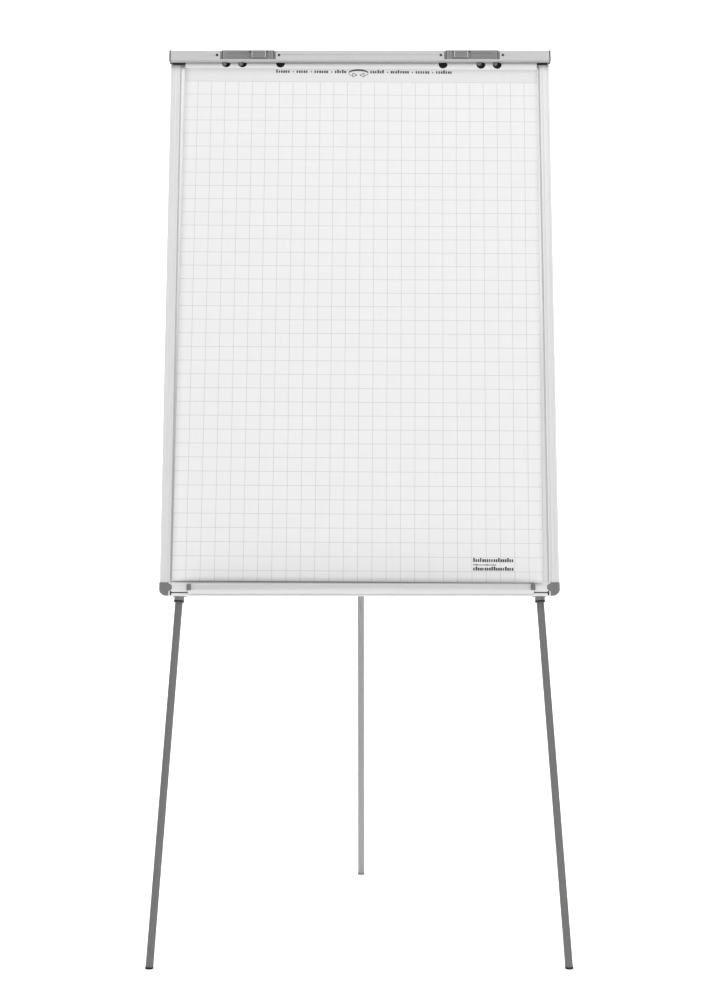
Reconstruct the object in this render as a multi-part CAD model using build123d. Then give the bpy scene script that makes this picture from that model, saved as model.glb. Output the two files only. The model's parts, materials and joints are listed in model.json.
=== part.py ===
"""A flipchart easel: a framed writing board on three telescopic legs, with a clamped paper pad.

Board coordinates: x runs across the board, v up its slope and n out of its face, with v = 0 at
the lower edge of the frame and n = 0 on the frame's front. The board is made in these and then
leaned back. The legs are made in the row's own frame: +Z up, floor at Z = 0, front facing -Y.
"""

from build123d import *

import math
import os

# The stance, in millimetres and degrees
LEAN = 9.0  # how far the board leans back from upright
EDGE_HEIGHT = 631.0  # floor to the lower front edge of the board
FEET_DEPTH = 684.0  # front feet to rear foot

# The board and its frame
BOARD_H = 1000.0
BOARD_HALF = 350.0
SIDE_WIDTH = 20.0
SIDE_IN = BOARD_HALF - SIDE_WIDTH
# Grooves in a side profile: start from its inner edge, width and depth
SIDE_GROOVES = ((0.4, 1.4, 2.4), (3.8, 3.4, 1.2), (11.2, 5.2, 1.2))
TOP_WIDTH = 30.0
TOP_V = BOARD_H - TOP_WIDTH
TOP_RELIEF = (12.0, 16.0)  # width and height of the step in the face at each end
BOTTOM_WIDTH = 22.5
BACK_N = -18.0
LIP = 3.0  # thickness of the frame's lip over the edge of the panel
SLOT_BACK_N = -16.5
SLOT_DEPTH = 10.0
PANEL_PLAY = 0.3
STEEL = 0.4  # steel writing face
BACKING = 0.4  # aluminium sheet on the back
CORNER_IN = 334.0
CORNER_HEIGHT = BOTTOM_WIDTH
CORNER_ROUND = 10.0
CORNER_PROUD = 1.0
CORNER_GROOVE = (5.5, 6.7)  # from the cap's inner edge
CORNER_GROOVE_DEPTH = 0.6
LOBE_RADIUS = 6.5
LOBE_V = 14.0
END_CAP = 2.0

# The paper pad
PAD_HALF = 324.0
PAD_BOTTOM_V = 23.4
PAD_TOP_V = 995.2
PERFORATION_V = 974.4
PAD_TILT = 0.35  # the pad hangs a little clockwise
PAD_SHIFT = 2.3  # and a little to the right at its top
CARD = 1.0
SHEETS = 2.8
PAPER = 0.2
HOLE_RADIUS = 8.2
HOLE_V = 984.6
HOLE_X = (150.0, 220.0, 250.0)
HOLE_SHIFT = 1.0  # the holes are punched a little right of the pad's middle
SEAT = 0.8  # rubber seat behind the pad's header
SEAT_HALF = 316.0
SEAT_V = (974.0, 996.9)
PEG_X = (220.0, 250.0)
PEG_RADIUS = 4.0
PEG_V = HOLE_V + 0.4
PEG_N = 7.5

# The clamp rail across the top
RAIL_HALF = 348.5
RAIL_CAP = 3.0
RAIL_V = (985.9, 1007.3)
RAIL_N = 14.0
RAIL_WALL = 2.0
RAIL_ROUND = 1.2
BEAD_V = (987.1, 988.7)  # a low bead along the rail's face
BEAD = 0.5
RAIL_BACK_N = -4.0
STRIP_N = 5.1  # where the closed rail's rubber strip meets the pad
STRIP_HEIGHT = 4.0
STOP_DROP = 1.5  # its thicker ends rest beside the pad and reach this much lower
STOP_END = 345.5
STOP_N = 0.3
FLANGE_N = 6.6
FLANGE_THICK = 1.4
FLANGE_HEIGHT = 5.0
PIVOT_V = RAIL_V[1] + 1.0
PIVOT_N = -9.0
KNUCKLE_RADIUS = 3.7
KNUCKLE_HALF = 18.0
HINGE_HALF = 36.0
HINGE_X = (-290.0, 0.0, 290.0)
PIN_RADIUS = 2.0
RUNNING = 0.05  # radial clearance of a shaft that turns or slides in its bore
GAP = 0.3  # clearance between other pieces that move past each other

# The clip units set into the rail
WINDOW_X = (155.0, 257.4)
WINDOW_V = (989.3, 1007.3)  # open at the top of the rail's face
UNIT_X = (158.0, 254.4)
UNIT_V = (989.6, 1007.3)
UNIT_N = 13.6
FLANGE_X = (145.0, 267.0)
UNIT_BACK_N = 10.4
LABEL_X = (206.0, 243.5)
LABEL_V = (992.8, 1001.8)
LABEL_DEPTH = 0.6
CHANNEL_X = (169.5, 204.5)
CHANNEL_V = (991.8, 1005.2)
CHANNEL_N = 11.4
GRIP_X = (173.2, 199.2)
GRIP_N = 15.2
DISH_BORDER = 1.4
DISH_DEPTH = 1.0
STEM_X = (183.0, 189.0)
STEM_V = (995.8, 999.8)
TONGUE_X = (183.0, 212.0)
TONGUE_V = (992.8, 998.0)
TONGUE_N = (6.2, 7.6)
SLIDER_OUT = 5.0  # travel away from the middle, to the locked end
SLIDER_IN = 3.3  # travel towards the middle
KEEPER_X = (213.5, 224.5)
KEEPER_POST_X = 219.5
KEEPER_V = (995.2, 1000.0)
KEEPER_POST_V = 997.2
KEEPER_N = (8.1, 9.4)
RAIL_SCREW_X = (149.0, 263.0)
RAIL_SCREW_V = 997.5
RAIL_SCREW_HEAD = (2.4, 0.8)  # radius and height
RAIL_SCREW_SHANK = (1.2, 3.2)
RAIL_SCREW_SLOT = (3.2, 0.6)

# The pen tray
TRAY_HALF = 297.2
TRAY_SHIFT = 2.6  # the tray sits a little right of the middle
TRAY_WALL = 2.0
TRAY_TOP_V = 20.4
TRAY_FLOOR_V = 2.0
TRAY_CURVE = 11.0
TRAY_DEPTH = 44.0
TRAY_SLOPE = 11.0  # the floor falls this much against the board's normal
TRAY_LIP = 7.5
TRAY_GROOVE = (0.6, 2.2)  # heights above the lip's lower edge
TRAY_GROOVE_DEPTH = 1.4
CLIP_WIDTH = 7.0
CLIP_V = (8.8, 19.0)
CLIP_N = 8.0
CLIP_ROUND = 1.5
GROOVE_V = (3.5, 5.5)
GROOVE_DEPTH = 5.0
NOTCH_WIDTH = 2.6
NOTCH_V = 7.5
INSERT_DEPTH = 0.3  # the black insert lies this far below the face

# The legs
LEG_N = -30.0
LEG_X = 318.3  # at the board's lower edge
SPLAY = 3.49
LEG_TOP_V = 984.0
COLLAR_V = -9.5  # lower face of a front leg's black guide ring
REAR_COLLAR_HEIGHT = 622.0
UPPER_RADIUS = 8.75
UPPER_BORE = 7.45
LOWER_RADIUS = 6.75
LOWER_BORE = 5.65
RING_RADIUS = 9.5
RING_FLANGE = 3.5
RING_SPIGOT = 20.0
INSERTED = 330.0  # length of the lower tube inside the upper tube
PLUG_RADIUS = 7.25
PLUG_LENGTH = 20.0
PLUG_SPIGOT = 15.0
FOOT_RADIUS = 7.1
FOOT_HEIGHT = 2.4
FOOT_SPIGOT = 20.0

# The brackets on the back
SADDLE_HALF = 13.0
SADDLE_DEPTH = 23.0
EAR_WIDTH = 20.0
EAR_DEPTH = 5.0
BRACKET_V = ((0.5, 26.5), (971.0, 997.0))
BRACKET_SCREW_V = (6.5, 990.0)
SCREW_SPACING = 10.0
SCREW_RADIUS = 1.75
HEAD_RADIUS = 3.5
HEAD_HEIGHT = 2.4
SCREW_DEPTH = 6.0
CROSS_LENGTH = 1.9  # half of each bar of the cross in a screw's head
CROSS_WIDTH = 0.5
REAR_PIVOT_V = 985.0
REAR_PIVOT_N = -38.0
REAR_SCREW_V = (985.0, 994.0)
REAR_SCREW_X = 25.5
REAR_PLATE_HALF = 30.0
REAR_PLATE = 4.0
CHEEK_X = (13.0, 17.0)
CHEEK_RADIUS = 11.0
REAR_PIN_RADIUS = 4.0
REAR_PIN_HEAD = 2.0
HEAD_BLOCK_HALF = CHEEK_X[0] - GAP
SOCKET_RADIUS = 12.0
SOCKET_LENGTH = 48.0
TUBE_START = 14.0  # rear pivot to the top of the rear upper tube
HEEL_HEIGHT = 12.0
HEEL_DEPTH = 10.0
HEEL_GAP = 0.3

# Places that follow from the driving dimensions
SIN_LEAN = math.sin(math.radians(LEAN))
COS_LEAN = math.cos(math.radians(LEAN))
FOOT_V = -(EDGE_HEIGHT + LEG_N * SIN_LEAN) / COS_LEAN
BOARD_Y = -FEET_DEPTH / 2 - FOOT_V * SIN_LEAN + LEG_N * COS_LEAN
BOARD = Plane(origin=(0, BOARD_Y, EDGE_HEIGHT), x_dir=(1, 0, 0), z_dir=(0, -COS_LEAN, SIN_LEAN)).location
PAD = Pos(PAD_SHIFT, HOLE_V, 0) * Rot(0, 0, -PAD_TILT) * Pos(0, -HOLE_V, 0)
CARD_N = (SEAT, SEAT + CARD)
SHEETS_N = (CARD_N[1], CARD_N[1] + SHEETS)
TOP_SHEET_N = (SHEETS_N[1] + RUNNING, SHEETS_N[1] + RUNNING + PAPER)


def board_point(x, v, n):
    """The row-frame place of a point given in board coordinates."""
    return (BOARD * Pos(x, v, n)).position


def brick(x, v, n):
    """A block from its (low, high) span along each axis."""
    middle = [(low + high) / 2 for low, high in (x, v, n)]
    return Pos(*middle) * Box(*[high - low for low, high in (x, v, n)])


def rod(start, end, radius):
    """A round bar between two points."""
    line = Vector(*end) - Vector(*start)
    base = Plane(origin=start, z_dir=line).location
    return base * Cylinder(radius, line.length, align=(Align.CENTER, Align.CENTER, Align.MIN))


def cross_rod(x, v, n, radius):
    """A round bar along x, from its (low, high) span."""
    return rod((x[0], v, n), (x[1], v, n), radius)


def left_of(shape):
    """The mirror image on the other side of the easel."""
    return mirror(shape, about=Plane.YZ)


def screw(x, v, n, outward, length):
    """A cross-head screw on a face that looks along n (outward is +1 or -1)."""
    shank = rod((x, v, n - outward * length), (x, v, n), SCREW_RADIUS)
    head = rod((x, v, n), (x, v, n + outward * HEAD_HEIGHT), HEAD_RADIUS)
    rim = head.edges().filter_by(GeomType.CIRCLE).sort_by(Axis.Z)[-1 if outward > 0 else 0]
    head = fillet(rim, HEAD_HEIGHT / 3)
    slot_n = sorted((n + outward * HEAD_HEIGHT / 2, n + outward * HEAD_HEIGHT))
    for half_x, half_v in ((CROSS_LENGTH, CROSS_WIDTH), (CROSS_WIDTH, CROSS_LENGTH)):
        head -= brick((x - half_x, x + half_x), (v - half_v, v + half_v), slot_n)
    return head + shank


# ---- the board ----


def panel_layer(n):
    """One layer of the panel, held all round in the slots of the frame."""
    half = SIDE_IN + SLOT_DEPTH - PANEL_PLAY
    low = BOTTOM_WIDTH - SLOT_DEPTH + PANEL_PLAY
    high = TOP_V + SLOT_DEPTH - PANEL_PLAY
    return brick((-half, half), (low, high), n)


def writing_face():
    return panel_layer((-LIP - STEEL, -LIP))


def panel_core():
    return panel_layer((SLOT_BACK_N + BACKING, -LIP - STEEL))


def back_sheet():
    return panel_layer((SLOT_BACK_N, SLOT_BACK_N + BACKING))


def side_profile():
    """The right-hand profile, with three lengthwise grooves and a rounded outer edge."""
    bar = brick((SIDE_IN, BOARD_HALF), (CORNER_HEIGHT, BOARD_H), (BACK_N, 0))
    outer = bar.edges().filter_by(Axis.Y).group_by(Axis.X)[-1]
    bar = fillet(outer, LIP)
    bar -= brick((SIDE_IN, SIDE_IN + SLOT_DEPTH), (CORNER_HEIGHT, BOARD_H), (SLOT_BACK_N, -LIP))
    for start, width, depth in SIDE_GROOVES:
        groove = (SIDE_IN + start, SIDE_IN + start + width)
        bar -= brick(groove, (CORNER_HEIGHT, BOARD_H), (-depth, 0))
    return bar


def top_profile():
    """The top profile, with its face stepped back at both ends, beside the pad."""
    bar = brick((-SIDE_IN, SIDE_IN), (TOP_V, BOARD_H), (BACK_N, 0))
    for span in ((SIDE_IN - TOP_RELIEF[0], SIDE_IN), (-SIDE_IN, TOP_RELIEF[0] - SIDE_IN)):
        bar -= brick(span, (TOP_V, TOP_V + TOP_RELIEF[1]), (-LIP, 0))
    return bar - brick((-SIDE_IN, SIDE_IN), (TOP_V, TOP_V + SLOT_DEPTH), (SLOT_BACK_N, -LIP))


def bottom_profile():
    """The bottom profile, with a narrow groove in its face and a notch at each end."""
    bar = brick((-CORNER_IN, CORNER_IN), (0, BOTTOM_WIDTH), (BACK_N, 0))
    slot_v = (BOTTOM_WIDTH - SLOT_DEPTH, BOTTOM_WIDTH)
    bar -= brick((-CORNER_IN, CORNER_IN), slot_v, (SLOT_BACK_N, -LIP))
    return bar - groove_space(0)


def groove_space(depth):
    """The bottom profile's groove and end notches, from this depth down to their floor."""
    n = (-GROOVE_DEPTH, -depth)
    outer = CORNER_IN - NOTCH_WIDTH
    space = brick((-outer, outer), GROOVE_V, n)
    for span in ((outer - NOTCH_WIDTH, outer), (-outer, NOTCH_WIDTH - outer)):
        space += brick(span, (0, NOTCH_V), n)
    return space


def groove_insert():
    """The black strip that fills the bottom profile's groove and notches."""
    return groove_space(INSERT_DEPTH)


def corner_cap():
    """The right-hand lower corner: a rounded block with a round lobe over the bottom profile."""
    x = (CORNER_IN + PANEL_PLAY, BOARD_HALF + PANEL_PLAY)
    block = brick(x, (0, CORNER_HEIGHT), (BACK_N, CORNER_PROUD))
    corner = block.edges().filter_by(Axis.Z).sort_by(lambda edge: edge.center().X - edge.center().Y)[-1]
    block = fillet(corner, CORNER_ROUND)
    rim = block.faces().sort_by(Axis.Z)[-1].edges()
    block = fillet(rim, CORNER_PROUD * 0.6)
    groove = [x[0] + edge for edge in CORNER_GROOVE]
    block -= brick(groove, (LOBE_V / 3, CORNER_HEIGHT), (CORNER_PROUD - CORNER_GROOVE_DEPTH, CORNER_PROUD))
    slot_v = (BOTTOM_WIDTH - SLOT_DEPTH, CORNER_HEIGHT)
    block -= brick((SIDE_IN, SIDE_IN + SLOT_DEPTH), slot_v, (SLOT_BACK_N, -LIP))
    return block + rod((x[0], LOBE_V, 0), (x[0], LOBE_V, CORNER_PROUD), LOBE_RADIUS)


def top_cap():
    """The thin cap that closes the right-hand side profile's upper end."""
    return brick((SIDE_IN, BOARD_HALF), (BOARD_H, BOARD_H + END_CAP), (BACK_N, RAIL_BACK_N - 1))


def clamp_seat():
    """The rubber seat that the rail presses the pad against."""
    seat = brick((-SEAT_HALF, SEAT_HALF), SEAT_V, (0, SEAT))
    for peg in pad_pegs():
        seat -= peg
    return seat


def pad_pegs():
    """Four round pegs on the top profile, which the pad hangs on."""
    pegs = []
    for x in (-PEG_X[1], -PEG_X[0], PEG_X[0], PEG_X[1]):
        peg = rod((x, PEG_V, 0), (x, PEG_V, PEG_N), PEG_RADIUS)
        tip = peg.edges().filter_by(GeomType.CIRCLE).sort_by(Axis.Z)[-1]
        pegs.append(fillet(tip, PEG_RADIUS / 4))
    return pegs


# ---- the pad ----


def pad_layer(v, n):
    """One layer of the pad, punched where it reaches the holes."""
    layer = brick((-PAD_HALF, PAD_HALF), v, n)
    if v[1] > HOLE_V:
        for x in HOLE_X + tuple(-x for x in HOLE_X):
            place = HOLE_SHIFT + x
            layer -= rod((place, HOLE_V, n[0]), (place, HOLE_V, n[1]), HOLE_RADIUS)
    return PAD * layer


def pad_card():
    return pad_layer((PAD_BOTTOM_V, PAD_TOP_V), CARD_N)


def pad_sheets():
    return pad_layer((PAD_BOTTOM_V, PAD_TOP_V), SHEETS_N)


def pad_header():
    """The strip of the top sheet above its perforation, which stays under the rail."""
    return pad_layer((PERFORATION_V, PAD_TOP_V), (SHEETS_N[1], TOP_SHEET_N[1]))


def top_sheet():
    return pad_layer((PAD_BOTTOM_V, PERFORATION_V - 2 * RUNNING), TOP_SHEET_N)


# ---- the pen tray ----


def pen_tray():
    """A trough with a curved back, a floor that falls towards the front and a grooved lip."""
    fall = math.tan(math.radians(TRAY_SLOPE))
    curve_n = TRAY_WALL + TRAY_CURVE
    front_v = TRAY_FLOOR_V - fall * (TRAY_DEPTH - TRAY_WALL - curve_n)
    lip_v = front_v + TRAY_LIP
    under = front_v - TRAY_WALL
    knee = TRAY_CURVE * (1 - math.sqrt(0.5))
    with BuildSketch(Plane.YZ) as section:
        with BuildLine():
            Polyline(
                (TRAY_FLOOR_V + TRAY_CURVE, TRAY_WALL),
                (TRAY_TOP_V, TRAY_WALL),
                (TRAY_TOP_V, 0),
                (TRAY_FLOOR_V - TRAY_WALL, 0),
                (TRAY_FLOOR_V - TRAY_WALL, curve_n),
                (under, TRAY_DEPTH),
                (lip_v, TRAY_DEPTH),
                (lip_v, TRAY_DEPTH - TRAY_WALL),
                (front_v, TRAY_DEPTH - TRAY_WALL),
                (TRAY_FLOOR_V, curve_n),
            )
            ThreePointArc(
                (TRAY_FLOOR_V, curve_n),
                (TRAY_FLOOR_V + knee, TRAY_WALL + knee),
                (TRAY_FLOOR_V + TRAY_CURVE, TRAY_WALL),
            )
        make_face()
    tray = extrude(section.sketch, TRAY_HALF, both=True)
    for side in (-1, 1):
        span = sorted((side * TRAY_HALF, side * (TRAY_HALF - TRAY_WALL)))
        wall = brick(span, (under, lip_v), (0, TRAY_DEPTH))
        wall -= brick(span, (under, TRAY_FLOOR_V - TRAY_WALL), (0, curve_n))
        slope = Pos(0, TRAY_FLOOR_V - TRAY_WALL, curve_n) * Rot(TRAY_SLOPE, 0, 0)
        wall -= slope * brick(span, (-TRAY_LIP, 0), (0, TRAY_DEPTH))
        tray += wall
    groove_v = [under + height for height in TRAY_GROOVE]
    tray -= brick((-TRAY_HALF, TRAY_HALF), groove_v, (TRAY_DEPTH - TRAY_GROOVE_DEPTH, TRAY_DEPTH))
    return Pos(TRAY_SHIFT, 0, 0) * tray


def tray_clips():
    """The two blocks that hold the tray's ends on the bottom profile."""
    clips = []
    for side in (-1, 1):
        span = sorted((side * TRAY_HALF, side * (TRAY_HALF + CLIP_WIDTH)))
        clip = Pos(TRAY_SHIFT, 0, 0) * brick(span, CLIP_V, (0, CLIP_N))
        rim = clip.faces().sort_by(Axis.Z)[-1].edges()
        clips.append(fillet(rim, CLIP_ROUND))
    return clips


# ---- the clamp rail ----


def rail_notches():
    """Room in the rail's lower lip for the pegs."""
    half = PEG_RADIUS + 2 * GAP + HEAD_HEIGHT / 2
    low = (RAIL_V[0] - 1, RAIL_V[0] + FLANGE_HEIGHT + 1)
    spans = [(x - half, x + half) for x in PEG_X] + [(-x - half, -x + half) for x in PEG_X]
    return [brick(span, low, (STRIP_N - 1, FLANGE_N + FLANGE_THICK + GAP)) for span in spans]


def clamp_rail():
    """A channel open to the board, hinged at its top, with a window for each clip unit."""
    x = (-RAIL_HALF, RAIL_HALF)
    rail = brick(x, RAIL_V, (RAIL_N - RAIL_WALL, RAIL_N))
    rail += brick(x, (RAIL_V[1] - RAIL_WALL, RAIL_V[1]), (RAIL_BACK_N, RAIL_N - RAIL_WALL))
    rail += brick(x, (RAIL_V[0], RAIL_V[0] + RAIL_WALL), (FLANGE_N, RAIL_N - RAIL_WALL))
    rail += brick(x, (RAIL_V[0], RAIL_V[0] + FLANGE_HEIGHT), (FLANGE_N, FLANGE_N + FLANGE_THICK))
    front = rail.faces().sort_by(Axis.Z)[-1].edges().filter_by(Axis.X)
    rail = fillet(front, RAIL_ROUND)
    rail += brick(x, BEAD_V, (RAIL_N, RAIL_N + BEAD))
    for notch in rail_notches():
        rail -= notch
    for middle in HINGE_X:
        span = (middle - KNUCKLE_HALF, middle + KNUCKLE_HALF)
        rail += brick(span, (RAIL_V[1] - RAIL_WALL, RAIL_V[1]), (PIVOT_N, RAIL_BACK_N))
        rail += cross_rod(span, PIVOT_V, PIVOT_N, KNUCKLE_RADIUS)
        rail -= cross_rod(span, PIVOT_V, PIVOT_N, PIN_RADIUS + RUNNING)
    for span in (WINDOW_X, (-WINDOW_X[1], -WINDOW_X[0])):
        rail -= brick(span, WINDOW_V, (RAIL_N - RAIL_WALL, RAIL_N))
    for part in rail_screws():
        rail -= part
    return rail


def rail_cap():
    """The cap on the rail's right-hand end."""
    cap = brick((RAIL_HALF, RAIL_HALF + RAIL_CAP), RAIL_V, (GAP, RAIL_N))
    rim = cap.faces().sort_by(Axis.X)[-1].edges()
    return fillet(rim, RAIL_CAP / 3)


def grip_strip():
    """The rubber strip along the rail's lower lip, interrupted at the pegs and thicker at its ends."""
    top = RAIL_V[0] + STRIP_HEIGHT
    strip = brick((-RAIL_HALF, RAIL_HALF), (RAIL_V[0], top), (STRIP_N, FLANGE_N))
    for side in (-1, 1):
        pad_edge = side * PAD_HALF + PAD_SHIFT
        span = sorted((pad_edge + side * 2 * GAP, side * STOP_END))
        strip += brick(span, (RAIL_V[0] - STOP_DROP, top), (STOP_N, FLANGE_N))
    for notch in rail_notches():
        strip -= notch
    return list(strip.solids())


def rail_hinge_blocks():
    """The fixed knuckles that stand on the top profile beside each rail knuckle."""
    blocks = []
    for middle in HINGE_X:
        for side in (-1, 1):
            near = middle + side * (KNUCKLE_HALF + GAP)
            far = middle + side * HINGE_HALF
            span = sorted((near, far))
            block = cross_rod(span, PIVOT_V, PIVOT_N, KNUCKLE_RADIUS)
            foot_n = (PIVOT_N - KNUCKLE_RADIUS, PIVOT_N + KNUCKLE_RADIUS)
            block += brick(span, (BOARD_H, PIVOT_V), foot_n)
            blocks.append(block - cross_rod(span, PIVOT_V, PIVOT_N, PIN_RADIUS))
    return blocks


def rail_hinge_pins():
    return [cross_rod((x - HINGE_HALF, x + HINGE_HALF), PIVOT_V, PIVOT_N, PIN_RADIUS) for x in HINGE_X]


def rail_screws():
    """The small screws that hold the clip units behind the rail's face."""
    places = RAIL_SCREW_X + tuple(-x for x in RAIL_SCREW_X)
    return [Pos(x, RAIL_SCREW_V, RAIL_N) * small_screw() for x in places]


def small_screw():
    """A low, round-headed screw that looks along +n."""
    height = RAIL_SCREW_HEAD[1]
    head = Cylinder(*RAIL_SCREW_HEAD, align=(Align.CENTER, Align.CENTER, Align.MIN))
    rim = head.edges().filter_by(GeomType.CIRCLE).sort_by(Axis.Z)[-1]
    head = fillet(rim, height / 2)
    head -= Pos(0, 0, height) * Box(*RAIL_SCREW_SLOT, height)
    return head + Cylinder(*RAIL_SCREW_SHANK, align=(Align.CENTER, Align.CENTER, Align.MAX))


# ---- the clip units ----


def clip_housing():
    """The right-hand unit: a flange behind the rail's face, and a block that fills the window."""
    behind = RAIL_N - RAIL_WALL
    housing = brick(FLANGE_X, (UNIT_V[0], RAIL_V[1] - RAIL_WALL), (UNIT_BACK_N, behind))
    housing += brick(UNIT_X, UNIT_V, (behind, UNIT_N))
    housing -= brick(LABEL_X, LABEL_V, (UNIT_N - LABEL_DEPTH, UNIT_N))
    housing -= brick(CHANNEL_X, CHANNEL_V, (CHANNEL_N, UNIT_N))
    slot_x = (STEM_X[0] - SLIDER_IN - GAP, STEM_X[1] + SLIDER_OUT + GAP)
    slot_v = (STEM_V[0] - GAP, STEM_V[1] + GAP)
    housing -= brick(slot_x, slot_v, (UNIT_BACK_N, CHANNEL_N))
    for part in rail_screws():
        housing -= part
    return housing


def slider():
    """The right-hand slider: a dished finger grip, a stem and the tongue behind the unit."""
    grip_v = (CHANNEL_V[0] + GAP, CHANNEL_V[1] - GAP)
    grip = brick(GRIP_X, grip_v, (CHANNEL_N + GAP, GRIP_N))
    rim = grip.faces().sort_by(Axis.Z)[-1].edges()
    grip = fillet(rim, GAP)
    dish_x = (GRIP_X[0] + DISH_BORDER, GRIP_X[1] - DISH_BORDER)
    dish_v = (grip_v[0] + DISH_BORDER, grip_v[1] - DISH_BORDER)
    grip -= brick(dish_x, dish_v, (GRIP_N - DISH_DEPTH, GRIP_N))
    grip += brick(STEM_X, STEM_V, (TONGUE_N[1], CHANNEL_N + GAP))
    return grip + brick(TONGUE_X, TONGUE_V, TONGUE_N)


def latch_keepers():
    """The hooks on the top profile that the sliders' tongues go behind."""
    post = brick((KEEPER_POST_X, KEEPER_X[1]), (KEEPER_POST_V, KEEPER_V[1]), (0, KEEPER_N[1]))
    keeper = post + brick(KEEPER_X, KEEPER_V, KEEPER_N)
    return [left_of(keeper), keeper]


# ---- the legs ----


class Leg:
    """A telescopic leg, as a line from the floor up to the end of its upper tube."""

    def __init__(self, floor, top, collar_height):
        self.floor = Vector(*floor)
        self.span = Vector(*top) - self.floor
        self.up = self.span.normalized()
        self.length = self.span.length
        self.collar = collar_height / self.up.Z

    def at(self, distance):
        """The point this far up the leg from the floor."""
        return self.floor + self.up * distance

    def bar(self, low, high, radius):
        return rod(self.at(low), self.at(high), radius)


def leg_place(v):
    """The right front leg's centre line, in board coordinates."""
    return (LEG_X - v * math.tan(math.radians(SPLAY)), v, LEG_N)


def front_leg():
    """The right-hand front leg."""
    collar_height = board_point(*leg_place(COLLAR_V)).Z
    return Leg(board_point(*leg_place(FOOT_V)), board_point(*leg_place(LEG_TOP_V)), collar_height)


def rear_leg():
    foot = Vector(0, FEET_DEPTH / 2, 0)
    pivot = Vector(*board_point(0, REAR_PIVOT_V, REAR_PIVOT_N))
    down = (foot - pivot).normalized()
    return Leg(foot, pivot + down * TUBE_START, REAR_COLLAR_HEIGHT)


def upper_tube(leg):
    low = leg.collar + RING_FLANGE
    return leg.bar(low, leg.length, UPPER_RADIUS) - leg.bar(low, leg.length, UPPER_BORE)


def guide_ring(leg):
    """The black ring in the upper tube's mouth, which guides the lower tube."""
    shoulder = leg.collar + RING_FLANGE
    ring = leg.bar(leg.collar, shoulder, RING_RADIUS)
    ring = fillet(ring.edges().filter_by(GeomType.CIRCLE), RING_FLANGE / 5)
    ring += leg.bar(shoulder, shoulder + RING_SPIGOT, UPPER_BORE)
    return ring - leg.bar(leg.collar, shoulder + RING_SPIGOT, LOWER_RADIUS + RUNNING)


def lower_tube(leg):
    top = leg.collar + INSERTED
    return leg.bar(FOOT_HEIGHT, top, LOWER_RADIUS) - leg.bar(FOOT_HEIGHT, top, LOWER_BORE)


def lock_plug(leg):
    """The plug on the lower tube's top, which grips the inside of the upper tube."""
    top = leg.collar + INSERTED
    return leg.bar(top, top + PLUG_LENGTH, PLUG_RADIUS) + leg.bar(top - PLUG_SPIGOT, top, LOWER_BORE)


def foot(leg):
    """The black cap on the lower tube's end, cut level with the floor."""
    cap = leg.bar(-FOOT_SPIGOT, FOOT_HEIGHT, FOOT_RADIUS)
    cap += leg.bar(FOOT_HEIGHT, FOOT_HEIGHT + FOOT_SPIGOT, LOWER_BORE)
    ground = Pos(*leg.floor) * Box(
        FOOT_SPIGOT * 4, FOOT_SPIGOT * 4, FOOT_SPIGOT * 4, align=(Align.CENTER, Align.CENTER, Align.MAX)
    )
    return cap - ground


# ---- the brackets on the back ----


def leg_bracket(index):
    """A saddle round the right-hand upper tube, with a screwed ear towards the middle."""
    v = BRACKET_V[index]
    middle = leg_place(sum(v) / 2)[0]
    saddle = brick((middle - SADDLE_HALF, middle + SADDLE_HALF), v, (BACK_N - SADDLE_DEPTH, BACK_N))
    edges = saddle.faces().sort_by(Axis.Z)[0].edges().filter_by(Axis.Y)
    saddle = fillet(edges, EAR_DEPTH)
    ear_x = (middle - SADDLE_HALF - EAR_WIDTH, middle - SADDLE_HALF)
    saddle += brick(ear_x, v, (BACK_N - EAR_DEPTH, BACK_N))
    saddle -= rod(leg_place(v[0] - SADDLE_HALF), leg_place(v[1] + SADDLE_HALF), UPPER_RADIUS)
    for part in bracket_screw_pair(index):
        saddle -= part
    return saddle


def bracket_screw_pair(index):
    """The two screws in the ear of a right-hand bracket."""
    middle = leg_place(sum(BRACKET_V[index]) / 2)[0] - SADDLE_HALF - EAR_WIDTH / 2
    places = (middle - SCREW_SPACING / 2, middle + SCREW_SPACING / 2)
    n = BACK_N - EAR_DEPTH
    return [screw(x, BRACKET_SCREW_V[index], n, -1, EAR_DEPTH + SCREW_DEPTH) for x in places]


def bracket_screws():
    right = bracket_screw_pair(0) + bracket_screw_pair(1)
    return right + [left_of(part) for part in right]


def rear_screws():
    """The four screws of the rear hinge bracket."""
    n = BACK_N - REAR_PLATE
    length = REAR_PLATE + SCREW_DEPTH
    return [screw(x, v, n, -1, length) for x in (-REAR_SCREW_X, REAR_SCREW_X) for v in REAR_SCREW_V]


def rear_bracket():
    """A plate with two cheeks that carry the rear leg's pin."""
    bracket = brick((-REAR_PLATE_HALF, REAR_PLATE_HALF), (TOP_V, BOARD_H), (BACK_N - REAR_PLATE, BACK_N))
    for x in (CHEEK_X, (-CHEEK_X[1], -CHEEK_X[0])):
        cheek_v = (REAR_PIVOT_V - CHEEK_RADIUS, REAR_PIVOT_V + CHEEK_RADIUS)
        bracket += brick(x, cheek_v, (REAR_PIVOT_N, BACK_N - REAR_PLATE))
        bracket += cross_rod(x, REAR_PIVOT_V, REAR_PIVOT_N, CHEEK_RADIUS)
        bracket -= cross_rod(x, REAR_PIVOT_V, REAR_PIVOT_N, REAR_PIN_RADIUS)
    for part in rear_screws():
        bracket -= part
    return bracket


def rear_pin():
    """The headed pin through the cheeks and the rear leg's head."""
    pin = cross_rod((-CHEEK_X[1], CHEEK_X[1]), REAR_PIVOT_V, REAR_PIVOT_N, REAR_PIN_RADIUS)
    for side in (-1, 1):
        span = sorted((side * CHEEK_X[1], side * (CHEEK_X[1] + REAR_PIN_HEAD)))
        pin += cross_rod(span, REAR_PIVOT_V, REAR_PIVOT_N, REAR_PIN_RADIUS * 1.5)
    return pin


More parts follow.
